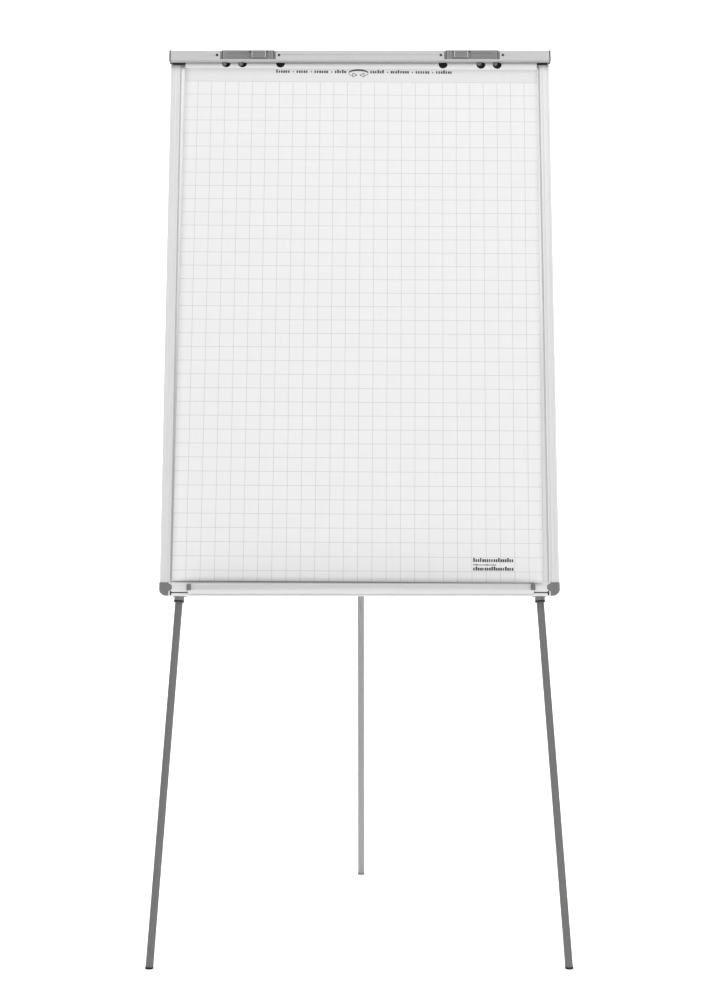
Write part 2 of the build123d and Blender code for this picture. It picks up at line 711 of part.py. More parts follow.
def rear_head():
    """The rear leg's head: an eye on the pin, a socket for the tube and a heel that stops it."""
    x = (-HEAD_BLOCK_HALF, HEAD_BLOCK_HALF)
    eye = cross_rod(x, REAR_PIVOT_V, REAR_PIVOT_N, CHEEK_RADIUS)
    heel_n = (BACK_N - REAR_PLATE - HEEL_GAP - HEEL_DEPTH, BACK_N - REAR_PLATE - HEEL_GAP)
    eye += brick(x, (REAR_PIVOT_V, REAR_PIVOT_V + HEEL_HEIGHT), heel_n)
    head = BOARD * eye
    leg = rear_leg()
    top = leg.length + TUBE_START
    head += leg.bar(top - SOCKET_LENGTH, top, SOCKET_RADIUS)
    head -= leg.bar(top - SOCKET_LENGTH, leg.length, UPPER_RADIUS)
    bore = cross_rod(x, REAR_PIVOT_V, REAR_PIVOT_N, REAR_PIN_RADIUS + RUNNING)
    return head - BOARD * bore


# ---- the nodes ----


def drilled(profile, screws):
    """A profile with its screws' holes."""
    for part in screws:
        profile -= part
    return profile


def board_nodes():
    """The nodes made in board coordinates, each as one shape or a list of solids."""
    screws = bracket_screws()
    nodes = {
        "writing_face": writing_face(),
        "panel_core": panel_core(),
        "back_sheet": back_sheet(),
        "frame_top": drilled(top_profile(), screws[2:4] + screws[6:8] + rear_screws()),
        "frame_bottom": drilled(bottom_profile(), screws[0:2] + screws[4:6]),
        "groove_insert": groove_insert(),
        "clamp_seat": clamp_seat(),
        "pad_pegs": pad_pegs(),
        "pad_card": pad_card(),
        "pad_sheets": pad_sheets(),
        "pad_header": pad_header(),
        "pad_top_sheet": top_sheet(),
        "pen_tray": pen_tray(),
        "tray_clips": tray_clips(),
        "clamp_rail": clamp_rail(),
        "grip_strip": grip_strip(),
        "rail_screws": rail_screws(),
        "rail_hinge_blocks": rail_hinge_blocks(),
        "rail_hinge_pins": rail_hinge_pins(),
        "latch_keepers": latch_keepers(),
        "bracket_screws": screws,
        "rear_hinge_bracket": rear_bracket(),
        "rear_hinge_screws": rear_screws(),
        "rear_hinge_pin": rear_pin(),
    }
    pairs = {
        "frame": side_profile(),
        "corner_cap": corner_cap(),
        "top_cap": top_cap(),
        "rail_cap": rail_cap(),
        "clip_housing": clip_housing(),
        "slider": slider(),
        "lower_bracket": leg_bracket(0),
        "upper_bracket": leg_bracket(1),
    }
    for name, shape in pairs.items():
        nodes[name + "_right"] = shape
        nodes[name + "_left"] = left_of(shape)
    return nodes


def leg_nodes():
    """The nodes of the three legs, made in the row's frame."""
    makers = {
        "upper_tube": upper_tube,
        "guide_ring": guide_ring,
        "lower_tube": lower_tube,
        "lock_plug": lock_plug,
        "foot": foot,
    }
    nodes = {"rear_leg_head": rear_head()}
    for name, make in makers.items():
        right = make(front_leg())
        nodes[name + "_right"] = right
        nodes[name + "_left"] = left_of(right)
        nodes[name + "_rear"] = make(rear_leg())
    return nodes


def export(name, shape):
    """One STEP file per node."""
    solids = shape if isinstance(shape, list) else list(shape.solids())
    solids = [solid for item in solids for solid in item.solids()]
    export_step(solids[0] if len(solids) == 1 else Compound(children=solids), f"parts/{name}.step")


def main():
    os.makedirs("parts", exist_ok=True)
    for name, shape in board_nodes().items():
        pieces = shape if isinstance(shape, list) else [shape]
        export(name, [BOARD * piece for piece in pieces])
    for name, shape in leg_nodes().items():
        export(name, shape)


if __name__ == "__main__":
    main()
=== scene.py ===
"""The looks of the flipchart easel: materials, the printed paper sheet, and a plain studio.

Everything is in metres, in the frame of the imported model. Board axes are used for whatever lies
on the board: across is +X, up runs up its slope and out points away from its face.
"""

import json
import math
import random

import bmesh
import bpy
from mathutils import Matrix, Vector


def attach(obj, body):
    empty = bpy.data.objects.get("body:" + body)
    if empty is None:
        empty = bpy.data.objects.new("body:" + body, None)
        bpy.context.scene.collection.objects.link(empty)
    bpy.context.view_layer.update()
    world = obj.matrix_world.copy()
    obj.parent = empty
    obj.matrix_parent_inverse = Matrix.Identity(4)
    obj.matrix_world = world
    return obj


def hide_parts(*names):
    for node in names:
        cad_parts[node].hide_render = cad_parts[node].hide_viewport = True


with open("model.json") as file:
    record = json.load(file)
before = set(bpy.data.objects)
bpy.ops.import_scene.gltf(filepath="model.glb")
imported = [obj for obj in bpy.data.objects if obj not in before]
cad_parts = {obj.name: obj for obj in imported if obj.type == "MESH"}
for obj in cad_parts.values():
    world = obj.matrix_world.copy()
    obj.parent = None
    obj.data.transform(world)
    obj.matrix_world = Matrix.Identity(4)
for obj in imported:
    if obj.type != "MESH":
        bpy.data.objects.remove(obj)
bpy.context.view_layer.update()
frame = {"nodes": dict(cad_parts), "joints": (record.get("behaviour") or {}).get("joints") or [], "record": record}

MM = 0.001

# The printed sheet
COLUMN_STEP = 25 * MM
ROW_STEP = 25.2 * MM
COLUMNS = 25  # upright lines
ROWS = 37  # level lines
SIDE_MARGIN = 24 * MM
LAST_ROW = 18.4 * MM  # height of the lowest line above the sheet's lower edge
LINE = 0.8 * MM
WAVE = 0.4 * MM  # how far the sheet's lower corners stand off the pad
RIPPLE = 0.35  # the height of its ripples, as a share of the wave
RIPPLE_ACROSS = 2.6 * math.pi  # how far a ripple's angle turns across the sheet
RIPPLE_UP = 3.1  # and up the sheet
RIPPLE_REACH = 1.2  # the ripples fade out towards the perforation and the lower edge
PAPER_FACE, INK_FACE, HEADER_FACE = range(3)  # the sheet's materials, in order
INK = 0.03 * MM  # how far printed marks stand proud of the sheet

# The row of word-like marks above the grid, with a turn-over sign in its middle
WORDS_LEFT = (5, 6, 5, 6)  # strokes in each word, outwards from the sign
WORDS_RIGHT = (6, 8, 6, 7)
WORD_HEIGHT = 6.6 * MM
WORD_PITCH = 4.35 * MM
WORD_GAP = 11.4 * MM
WORD_BASE = 8.2 * MM  # below the sheet's upper edge
STROKE_HEIGHTS = (0.72, 0.72, 0.72, 1.0)  # shares of a word's height: most strokes are short
STROKE_WIDTHS = (0.6, 0.82)  # shares of a stroke's pitch
DOT_RADIUS = 1.3 * MM
DISC_SIDES = 16
SIGN_SIZE = (18.8 * MM, 7.4 * MM)  # half width and half height
SIGN_CENTRE = (-5 * MM, 7.6 * MM)  # from the sheet's middle, and below its upper edge
SIGN_MARGIN = 3 * MM

# The marks in the sheet's lower right corner
IMPRINT_FROM_RIGHT = 121.7 * MM
# Rows, all in millimetres: height above the sheet's edge, strokes, their pitch and height
IMPRINT_ROWS = ((35.5, 18, 3.95, 7.3), (29.5, 17, 2.4, 2.4), (20.5, 18, 3.95, 7.0))

# The turn-over sign, in shares of its half width and half height
ARC_STEPS = 8
BOLD_ARCS = ((8, 60), (60, 120), (120, 172))  # degrees, counter-clockwise from the right
BOLD_INNER = (0.84, 0.52)
THIN_ARCS = ((188, 235), (305, 352))
THIN_INNER = (0.94, 0.86)
ARROW_TIP = 0.12
ARROW_TAIL = 0.55
ARROW_DROP = 0.55  # below the sign's centre
ARROW_RISE = 0.5
ARROW_LINE = 0.15

# Painted highlights and shade on the clip units
PAINT_PROUD = 0.12 * MM  # how far the painted plates stand proud
FACE_TOLERANCE = 0.2 * MM  # points this close behind a node's foremost one are on its front face
RING_INSET = 0.35 * MM
RING_WIDTH = 0.8 * MM
END_LINE_INSET = 2.2 * MM
END_LINE_WIDTH = 0.7 * MM
END_MARGIN = 0.4 * MM

# The studio: a floor that curves up into a backdrop, two lights and the camera
SWEEP_HALF_WIDTH = 9.0
SWEEP_FRONT = -6.0
SWEEP_BACK = 3.2
SWEEP_BEND = 1.6
SWEEP_BEND_STEPS = 24
SWEEP_TOP = 6.5
SWEEP_DROP = 0.2 * MM  # the floor lies this far under the feet
WORLD_STRENGTH = 0.68
# Each light: place, the point it is aimed at, size and power
KEY_LIGHT = ((0.4, -3.0, 3.6), (0, -0.2, 1.1), (2.8, 2.2), 74)
BACKDROP_LIGHT = ((0, 0.6, 4.6), (0, 3.0, 1.0), (5.0, 1.0), 200)
CAMERA_PLACE = (0.0161, -2.900, 0.7613)
CAMERA_LENS = 54.16
CAMERA_SENSOR = 36.0
CAMERA_SHIFT = (-0.0147, 0.02055)


def board_axes():
    """Directions across the board, up its slope and out of its face."""
    mesh = frame["nodes"]["writing_face"].data
    normal = max(mesh.polygons, key=lambda face: face.area).normal.copy()
    if normal.y > 0:
        normal.negate()
    across = Vector((1, 0, 0))
    return across, normal.cross(across), normal


ACROSS, UP, OUT = board_axes()


def corner(node, side, rise, front):
    """The corner of a box-like node that lies furthest along the given signs of the board's axes."""
    aim = ACROSS * side + UP * rise + OUT * front
    return max((vertex.co.copy() for vertex in frame["nodes"][node].data.vertices), key=aim.dot)


# ---- materials ----


class Surface:
    """A node material in the making. Its patterns follow the piece's own place in the frame."""

    def __init__(self, name, grain_along=None):
        self.material = bpy.data.materials.new(name)
        self.material.use_nodes = True
        tree = self.material.node_tree
        tree.nodes.clear()
        self.tree = tree
        self.shader = self.node("ShaderNodeBsdfPrincipled")
        self.output = self.node("ShaderNodeOutputMaterial")
        tree.links.new(self.shader.outputs["BSDF"], self.output.inputs["Surface"])
        place = self.node("ShaderNodeTexCoord")
        self.place = place.outputs["Object"]
        self.normal = place.outputs["Normal"]
        if grain_along is not None:
            turn = self.node("ShaderNodeMapping")
            turn.vector_type = "POINT"
            upright = grain_along.rotation_difference(Vector((0, 0, 1)))
            turn.inputs["Rotation"].default_value = upright.to_euler()
            tree.links.new(self.place, turn.inputs["Vector"])
            self.place = turn.outputs["Vector"]
        self.height = None

    def node(self, kind):
        return self.tree.nodes.new(kind)

    def link(self, source, target):
        self.tree.links.new(source, target)

    def noise(self, scale, detail=3.0, roughness=0.5, stretch=(1, 1, 1)):
        """A noise pattern with so many features a metre, squeezed by stretch along each axis."""
        squeeze = self.node("ShaderNodeMapping")
        squeeze.inputs["Scale"].default_value = stretch
        self.link(self.place, squeeze.inputs["Vector"])
        noise = self.node("ShaderNodeTexNoise")
        noise.inputs["Scale"].default_value = scale
        noise.inputs["Detail"].default_value = detail
        noise.inputs["Roughness"].default_value = roughness
        self.link(squeeze.outputs["Vector"], noise.inputs["Vector"])
        return noise.outputs["Fac"]

    def spread(self, value, low, high, start=0.3, end=0.7):
        """A pattern's value carried from start..end to low..high."""
        spread = self.node("ShaderNodeMapRange")
        spread.inputs["From Min"].default_value = start
        spread.inputs["From Max"].default_value = end
        spread.inputs["To Min"].default_value = low
        spread.inputs["To Max"].default_value = high
        self.link(value, spread.inputs["Value"])
        return spread.outputs["Result"]

    def mix(self, share, first, second):
        """A blend of two colours or sockets by the share of the second."""
        mix = self.node("ShaderNodeMix")
        mix.data_type = "RGBA"
        self.link(share, mix.inputs["Factor"])
        for name, value in (("A", first), ("B", second)):
            socket = next(s for s in mix.inputs if s.name == name and s.type == "RGBA")
            if isinstance(value, tuple):
                socket.default_value = (*value, 1)
            else:
                self.link(value, socket)
        return next(s for s in mix.outputs if s.type == "RGBA")

    def facing(self, direction, start, end):
        """How much the surface faces along a direction: 0 up to start, and 1 from end on."""
        dot = self.node("ShaderNodeVectorMath")
        dot.operation = "DOT_PRODUCT"
        self.link(self.normal, dot.inputs[0])
        dot.inputs[1].default_value = direction
        return self.spread(dot.outputs["Value"], 0, 1, start, end)

    def one_sided(self):
        """Lets the eye through from behind."""
        geometry = self.node("ShaderNodeNewGeometry")
        clear = self.node("ShaderNodeBsdfTransparent")
        mix = self.node("ShaderNodeMixShader")
        self.link(geometry.outputs["Backfacing"], mix.inputs["Fac"])
        self.link(self.shader.outputs["BSDF"], mix.inputs[1])
        self.link(clear.outputs["BSDF"], mix.inputs[2])
        self.link(mix.outputs["Shader"], self.output.inputs["Surface"])

    def colour(self, value):
        self.link(value, self.shader.inputs["Base Color"])

    def rough(self, value):
        self.link(value, self.shader.inputs["Roughness"])

    def bump(self, value, depth, strength=1.0):
        """Adds relief. Depth is its height in metres."""
        bump = self.node("ShaderNodeBump")
        bump.inputs["Distance"].default_value = depth
        bump.inputs["Strength"].default_value = strength
        self.link(value, bump.inputs["Height"])
        if self.height is not None:
            self.link(self.height, bump.inputs["Normal"])
        self.height = bump.outputs["Normal"]
        self.link(self.height, self.shader.inputs["Normal"])

    def fix(self, **values):
        """Sets numbers that are the same all over the surface."""
        for name, value in values.items():
            self.shader.inputs[name.replace("_", " ").title().replace("Ior", "IOR")].default_value = value


def grey(level, warmth=0.0):
    return (level * (1 + warmth), level, level * (1 - warmth))


def aluminium(name, along, light, dark, rough):
    """Satin anodised extrusion with fine die lines along its length, from its two grey levels."""
    surface = Surface(name, along)
    lines = surface.noise(260, 4, 0.6, (1, 1, 0.004))
    fine = surface.noise(2400, 2, 0.5, (1, 1, 0.003))
    cloud = surface.noise(7, 3, 0.5)
    streaks = surface.mix(surface.spread(lines, 0, 1), grey(dark), grey(light))
    surface.colour(surface.mix(surface.spread(fine, 0, 0.25), streaks, grey(light * 0.86)))
    surface.rough(surface.spread(cloud, rough - 0.05, rough + 0.08))
    surface.bump(lines, 0.05 * MM, 0.6)
    surface.bump(fine, 0.01 * MM, 0.5)
    surface.fix(metallic=0.1, specular_ior_level=0.3)
    return surface.material


def lacquer(name, along, level, rough=0.55):
    """Satin grey lacquer on a tube: drawn lines show faintly, with fine dust and soft unevenness."""
    surface = Surface(name, along)
    lines = surface.noise(420, 3, 0.5, (1, 1, 0.01))
    cloud = surface.noise(9, 4, 0.55)
    specks = surface.noise(2600, 2, 0.6)
    tone = surface.mix(surface.spread(lines, 0, 1), grey(level * 0.93), grey(level * 1.06))
    tone = surface.mix(surface.spread(cloud, 0, 0.35), tone, grey(level * 1.12))
    surface.colour(surface.mix(surface.spread(specks, 0, 0.6, 0.66, 0.74), tone, grey(level * 1.35)))
    surface.rough(surface.spread(cloud, rough - 0.05, rough + 0.08))
    surface.bump(lines, 0.02 * MM, 0.5)
    surface.bump(specks, 0.03 * MM, 0.35)
    surface.fix(specular_ior_level=0.2)
    return surface.material


def enamel(name, level):
    """Glossy baked enamel with a slight orange peel and wiping marks."""
    surface = Surface(name)
    peel = surface.noise(330, 2, 0.5)
    wipes = surface.noise(14, 5, 0.6, (1, 3, 1))
    surface.colour(surface.mix(surface.spread(wipes, 0, 1), grey(level), grey(level * 0.965)))
    surface.rough(surface.spread(wipes, 0.14, 0.26))
    surface.bump(peel, 0.03 * MM, 0.25)
    surface.fix(coat_weight=0.4, coat_roughness=0.1)
    return surface.material


def moulded(name, level, rough=0.5, grain=900, depth=0.05 * MM, warmth=0.0):
    """Moulded plastic with a fine spark-eroded grain."""
    surface = Surface(name)
    pits = surface.noise(grain, 3, 0.6)
    cloud = surface.noise(26, 3, 0.5)
    tone = surface.mix(surface.spread(cloud, 0, 1), grey(level * 0.92, warmth), grey(level * 1.08, warmth))
    surface.colour(surface.mix(surface.spread(pits, 0, 0.3), tone, grey(level * 1.25, warmth)))
    surface.rough(surface.spread(pits, rough - 0.07, rough + 0.07))
    surface.bump(pits, depth, 0.5)
    return surface.material


def rubber(name):
    """Black rubber, matt, with dust in its grain."""
    surface = Surface(name)
    grain = surface.noise(1300, 3, 0.6)
    dust = surface.noise(60, 4, 0.6)
    surface.colour(surface.mix(surface.spread(dust, 0, 0.5, 0.45, 0.8), grey(0.012), grey(0.045)))
    surface.rough(surface.spread(grain, 0.66, 0.86))
    surface.bump(grain, 0.05 * MM, 0.6)
    surface.fix(specular_ior_level=0.3)
    return surface.material


def steel(name, dark=0.44, light=0.62):
    """Plated steel with a soft crystalline mottle."""
    surface = Surface(name)
    mottle = surface.noise(240, 4, 0.6)
    fine = surface.noise(1800, 2, 0.5)
    surface.colour(surface.mix(surface.spread(mottle, 0, 1), grey(dark), grey(light)))
    surface.rough(surface.spread(mottle, 0.26, 0.44))
    surface.bump(fine, 0.02 * MM, 0.4)
    surface.fix(metallic=0.95)
    return surface.material


def paper(name, level):
    """Uncoated paper: cloudy formation, fibres and a matt, faintly hairy surface."""
    surface = Surface(name)
    cloud = surface.noise(38, 4, 0.6)
    fibres = surface.noise(900, 4, 0.65, (1, 1, 0.45))
    tooth = surface.noise(3600, 2, 0.5)
    tone = surface.mix(surface.spread(cloud, 0, 1), grey(level * 0.985), grey(level * 1.01))
    surface.colour(surface.mix(surface.spread(fibres, 0, 0.35), tone, grey(level * 0.96, 0.004)))
    surface.rough(surface.spread(fibres, 0.78, 0.94))
    surface.bump(fibres, 0.02 * MM, 0.35)
    surface.bump(tooth, 0.01 * MM, 0.3)
    surface.fix(specular_ior_level=0.25, sheen_weight=0.08, sheen_roughness=0.6)
    return surface.material


def stacked_paper(name):
    """The pad's block of sheets: plain in front, and each sheet's edge is a fine line round the sides. The sides
    are painted lighter than the front, a painted lift of the shade along the pad's lower edge.
    """
    surface = Surface(name, OUT)
    edges = surface.noise(1, 1, 0.5, (30, 30, 7200))
    wander = surface.noise(60, 3, 0.5)
    tone = surface.mix(surface.spread(edges, 0, 1, 0.42, 0.58), grey(0.74), grey(0.88))
    tone = surface.mix(surface.spread(wander, 0, 0.3), tone, grey(0.82))
    # painted light: the sides stay lighter than the front, lifting the shade under the pad's lower edge
    surface.colour(surface.mix(surface.facing(OUT, 0.7, 0.9), tone, grey(0.70)))
    surface.rough(surface.spread(wander, 0.8, 0.92))
    surface.fix(specular_ior_level=0.25)
    return surface.material


def ink(name, level):
    """Printed ink, a little glossier than its paper, with the paper's tooth showing through."""
    surface = Surface(name)
    tooth = surface.noise(2600, 3, 0.6)
    surface.colour(surface.mix(surface.spread(tooth, 0, 1), grey(level * 0.9), grey(level * 1.12)))
    surface.rough(surface.spread(tooth, 0.55, 0.75))
    surface.bump(tooth, 0.01 * MM, 0.3)
    return surface.material


def card(name):
    """Grey recycled card with flecks."""
    surface = Surface(name)
    flecks = surface.noise(420, 5, 0.7)
    cloud = surface.noise(30, 3, 0.5)
    tone = surface.mix(surface.spread(cloud, 0, 1), (0.56, 0.55, 0.52), (0.64, 0.62, 0.59))
    surface.colour(surface.mix(surface.spread(flecks, 0, 0.8, 0.55, 0.7), tone, (0.34, 0.33, 0.31)))
    surface.rough(surface.spread(flecks, 0.82, 0.95))
    surface.bump(flecks, 0.06 * MM, 0.5)
    return surface.material


def core_board(name):
    """The board's pressed fibre core."""
    surface = Surface(name)
    chips = surface.noise(300, 4, 0.7)
    surface.colour(surface.mix(surface.spread(chips, 0, 1), (0.30, 0.22, 0.13), (0.46, 0.36, 0.24)))
    surface.rough(surface.spread(chips, 0.8, 0.95))
    surface.bump(chips, 0.1 * MM, 0.6)
    return surface.material


def leg_axis(leg):
    """The direction up a leg, from its joint's axis."""
    joint = next(j for j in frame["joints"] if j["name"] == f"leg_{leg}_slide")
    return -Vector(joint["axis"])


def materials():
    """A material for each kind of surface, by name."""
    made = {
        "aluminium_up": aluminium("aluminium_up", UP, 0.67, 0.59, 0.55),
        "aluminium_across": aluminium("aluminium_across", ACROSS, 0.67, 0.60, 0.5),
        "aluminium_rail": aluminium("aluminium_rail", ACROSS, 0.48, 0.455, 0.6),
        "back_sheet": aluminium("back_sheet_aluminium", UP, 0.60, 0.52, 0.42),
        "enamel": enamel("white_enamel", 0.69),
        "paper": paper("paper", 0.705),
        "header_paper": paper("header_paper", 0.645),
        "stacked_paper": stacked_paper("stacked_paper"),
        "grid_ink": ink("grid_ink", 0.46),
        "black_ink": ink("black_ink", 0.03),
        "card": card("grey_card"),
        "core": core_board("core_board"),
        "grey_plastic": moulded("grey_plastic", 0.14),
        "dark_plastic": moulded("dark_plastic", 0.02, 0.45),
        "rubber": rubber("black_rubber"),
        "steel": steel("zinc_steel"),
        "black_steel": steel("black_steel", 0.015, 0.03),
        # Painted highlights for the clip units, a bright one and a dim one, laid on as thin plates.
        "painted_highlight": aluminium("painted_highlight", ACROSS, 0.62, 0.56, 0.4),
        "dim_painted_highlight": aluminium("dim_painted_highlight", ACROSS, 0.32, 0.28, 0.5),
    }
    # Lacquer levels by leg: the rear leg's copy of the same lacquer is much lighter than the front legs'.
    levels = {"left": 0.138, "right": 0.138, "rear": 0.30}
    for leg, level in levels.items():
        made[f"leg_{leg}"] = lacquer(f"leg_lacquer_{leg}", leg_axis(leg), level)
        # Painted light: the upper tubes get a lighter copy of their leg's lacquer, lifting the shade they stand in
        # under the tray and board.
        made[f"collar_{leg}"] = lacquer(f"collar_lacquer_{leg}", leg_axis(leg), level * 1.65)
    return made


SLOT_SURFACE = {
    "anodised_aluminium": "aluminium_across",
    "white_enamel": "enamel",
    "core_board": "core",
    "back_aluminium": "back_sheet",
    "paper": "paper",
    "grey_card": "card",
    "grey_plastic": "grey_plastic",
    "dark_plastic": "dark_plastic",
    "black_rubber": "rubber",
    "zinc_steel": "steel",
    "black_steel": "black_steel",
}
NODE_SURFACE = {
    "frame_left": "aluminium_up",
    "frame_right": "aluminium_up",
    "pad_sheets": "stacked_paper",
    "pad_header": "header_paper",
    "clamp_rail": "aluminium_rail",
}


def surface_of(node, slot):
    """The name of a CAD node's material."""
    if node in NODE_SURFACE:
        return NODE_SURFACE[node]
    if slot == "leg_tube":
        part, leg = node.rsplit("_", 1)
        # the upper tubes take the lacquer copy that is painted lighter to lift their shade
        return f"collar_{leg}" if part == "upper_tube" else f"leg_{leg}"
    return SLOT_SURFACE[slot]


SOFT_EDGE = {"aluminium": 0.35 * MM, "grey_plastic": 0.5 * MM, "dark_plastic": 0.3 * MM}


def ease_edges(piece, width):
    """Rounds a CAD node's sharp edges a little, so that they catch the light."""
    weld = piece.modifiers.new("weld", "WELD")
    weld.merge_threshold = 0.01 * MM
    bevel = piece.modifiers.new("bevel", "BEVEL")
    bevel.width = width
    bevel.segments = 2
    bevel.limit_method = "ANGLE"
    bevel.angle_limit = math.radians(40)
    bevel.use_clamp_overlap = True
    bevel.harden_normals = True


def dress_nodes(made):
    """Gives every CAD node its material."""
    for subpart in frame["record"]["subparts"]:
        node = subpart["node"]
        piece = frame["nodes"][node]
        name = surface_of(node, subpart["material_slot"])
        piece.data.materials.clear()
        piece.data.materials.append(made[name])
        width = SOFT_EDGE.get(name.split("_")[0]) or SOFT_EDGE.get(name)
        if width:
            ease_edges(piece, width)


# ---- the printed sheet ----


class Sheet:
    """The pad's top sheet, with its own across and up, which hang a little askew on the board."""

    def __init__(self, node):
        self.origin = corner(node, -1, -1, 1)
        right = corner(node, 1, -1, 1)
        top = corner(node, -1, 1, 1)
        back = corner(node, -1, -1, -1)
        self.width = (right - self.origin).length
        self.height = (top - self.origin).length
        self.across = (right - self.origin).normalized()
        self.up = (top - self.origin).normalized()
        self.out = OUT
        self.thickness = (self.origin - back).dot(OUT)

    def lift(self, s, t):
        """How far the sheet stands off the pad at s across and t up: nothing at its perforation."""
        free = 1 - t / self.height
        side = 2 * s / self.width - 1
        ripple = (1 + math.sin(RIPPLE_ACROSS * s / self.width + RIPPLE_UP * t / self.height)) / 2
        fade = math.sin(math.pi * min(1, free * RIPPLE_REACH)) ** 2
        curl = abs(side) ** 3 * free ** 3
        return WAVE * (RIPPLE * ripple * fade + curl)

    def at(self, s, t, proud=0.0):
        """The place of a point s across and t up, this far out of the sheet's face."""
        flat = self.origin + self.across * s + self.up * t
        return flat + self.out * (self.lift(s, t) + proud)


def new_piece(name, body, surfaces):
    """An empty mesh object that rides on a body."""
    mesh = bpy.data.meshes.new(name)
    piece = bpy.data.objects.new(name, mesh)
    bpy.context.scene.collection.objects.link(piece)
    for surface in surfaces:
        mesh.materials.append(surface)
    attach(piece, body)
    return piece


def close_mesh(work, piece):
    """Turns the faces outwards and hands the mesh to its piece."""
    bmesh.ops.recalc_face_normals(work, faces=work.faces)
    work.to_mesh(piece.data)
    work.free()


def line_cuts(first, step, count, end):
    """Places to cut the sheet along one of its sides, and which strips between them are lines."""
    cuts = [0.0]
    printed = []
    for index in range(count):
        middle = first + index * step
        before = cuts[-1]
        cuts += [(before + middle - LINE / 2) / 2, middle - LINE / 2, middle + LINE / 2]
        printed += [False, False, True]
    cuts += [(cuts[-1] + end) / 2, end]
    printed += [False, False]
    return cuts, printed


def printed_sheet(sheet, made):
    """The paper as one closed, faintly waved sheet, with its grid printed on the front."""
    surfaces = [made["paper"], made["grid_ink"], made["header_paper"]]
    piece = new_piece("printed_sheet", "top_sheet", surfaces)
    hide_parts("pad_top_sheet")
    columns, upright = line_cuts(SIDE_MARGIN, COLUMN_STEP, COLUMNS, sheet.width)
    rows, level = line_cuts(LAST_ROW, ROW_STEP, ROWS, sheet.height)
    header = LAST_ROW + (ROWS - 1) * ROW_STEP
    work = bmesh.new()
    faces = {}
    for side, depth in (("front", 0.0), ("back", -sheet.thickness)):
        faces[side] = [[work.verts.new(sheet.at(s, t, depth)) for s in columns] for t in rows]
    for i in range(len(rows) - 1):
        for j in range(len(columns) - 1):
            a, b = faces["front"][i][j], faces["front"][i][j + 1]
            c, d = faces["front"][i + 1][j + 1], faces["front"][i + 1][j]
            face = work.faces.new((a, b, c, d))
            face.smooth = True
            if rows[i] > header:
                face.material_index = HEADER_FACE
            elif level[i] or upright[j]:
                face.material_index = INK_FACE
            else:
                face.material_index = PAPER_FACE
            a, b = faces["back"][i][j], faces["back"][i + 1][j]
            c, d = faces["back"][i + 1][j + 1], faces["back"][i][j + 1]
            work.faces.new((a, b, c, d)).smooth = True
    rims = (
        [(0, j) for j in range(len(columns))],
        [(i, len(columns) - 1) for i in range(len(rows))],
        [(len(rows) - 1, j) for j in reversed(range(len(columns)))],
        [(i, 0) for i in reversed(range(len(rows)))],
    )
    for rim in rims:
        for (i, j), (k, m) in zip(rim, rim[1:]):
            front, back = faces["front"], faces["back"]
            work.faces.new((front[k][m], front[i][j], back[i][j], back[k][m]))
    close_mesh(work, piece)


def mark(work, sheet, outline):
    """A printed mark: a thin closed plate on the sheet, from its outline in (s, t) points."""
    front = [work.verts.new(sheet.at(s, t, INK)) for s, t in outline]
    back = [work.verts.new(sheet.at(s, t, -INK)) for s, t in outline]
    work.faces.new(front)
    work.faces.new(back[::-1])
    for i in range(len(outline)):
        k = (i + 1) % len(outline)
        work.faces.new((front[k], front[i], back[i], back[k]))


def bar(work, sheet, s, t, width, height):
    """An upright printed stroke with its lower left corner at (s, t)."""
    mark(work, sheet, [(s, t), (s + width, t), (s + width, t + height), (s, t + height)])


def word(work, sheet, s, t, strokes, pitch, height, chance):
    """A stand-in for a printed word: a row of small upright strokes of uneven height."""
    for index in range(strokes):
        tall = height * chance.choice(STROKE_HEIGHTS)
        bar(work, sheet, s + index * pitch, t, pitch * chance.uniform(*STROKE_WIDTHS), tall)


def disc(work, sheet, s, t, radius):
    """A round printed dot."""
    turns = [2 * math.pi * k / DISC_SIDES for k in range(DISC_SIDES)]
    mark(work, sheet, [(s + radius * math.cos(a), t + radius * math.sin(a)) for a in turns])


def arc(centre, half_size, turn, inner):
    """The outline of a piece of an elliptical ring, between two angles."""
    start, end = turn
    angles = [math.radians(start + (end - start) * k / ARC_STEPS) for k in range(ARC_STEPS + 1)]
    ring = []
    for scale, order in (((1, 1), angles), (inner, angles[::-1])):
        for angle in order:
            s = centre[0] + half_size[0] * scale[0] * math.cos(angle)
            t = centre[1] + half_size[1] * scale[1] * math.sin(angle)
            ring.append((s, t))
    return ring


def stroke(start, end, width):
    """The outline of a straight line of some width between two points."""
    run = Vector((end[0] - start[0], end[1] - start[1]))
    step = Vector((-run.y, run.x)).normalized() * width / 2
    return [
        (start[0] - step.x, start[1] - step.y),
        (end[0] - step.x, end[1] - step.y),
        (end[0] + step.x, end[1] + step.y),
        (start[0] + step.x, start[1] + step.y),
    ]


def turn_sign(work, sheet, centre, half_size):
    """A plain turn-over sign: a bold arc above, thin returns below, and two arrowheads in them."""
    for turn in BOLD_ARCS:
        mark(work, sheet, arc(centre, half_size, turn, BOLD_INNER))
    for turn in THIN_ARCS:
        mark(work, sheet, arc(centre, half_size, turn, THIN_INNER))
    half_width, half_height = half_size
    middle = centre[1] - half_height * ARROW_DROP
    rise = half_height * ARROW_RISE
    for side in (-1, 1):
        tip = centre[0] + side * half_width * ARROW_TIP
        tail = centre[0] + side * half_width * ARROW_TAIL
        points = [(tip, middle), (tail, middle + rise), (tail, middle - rise)]
        for start, end in zip(points, points[1:] + points[:1]):
            mark(work, sheet, stroke(start, end, half_height * ARROW_LINE))


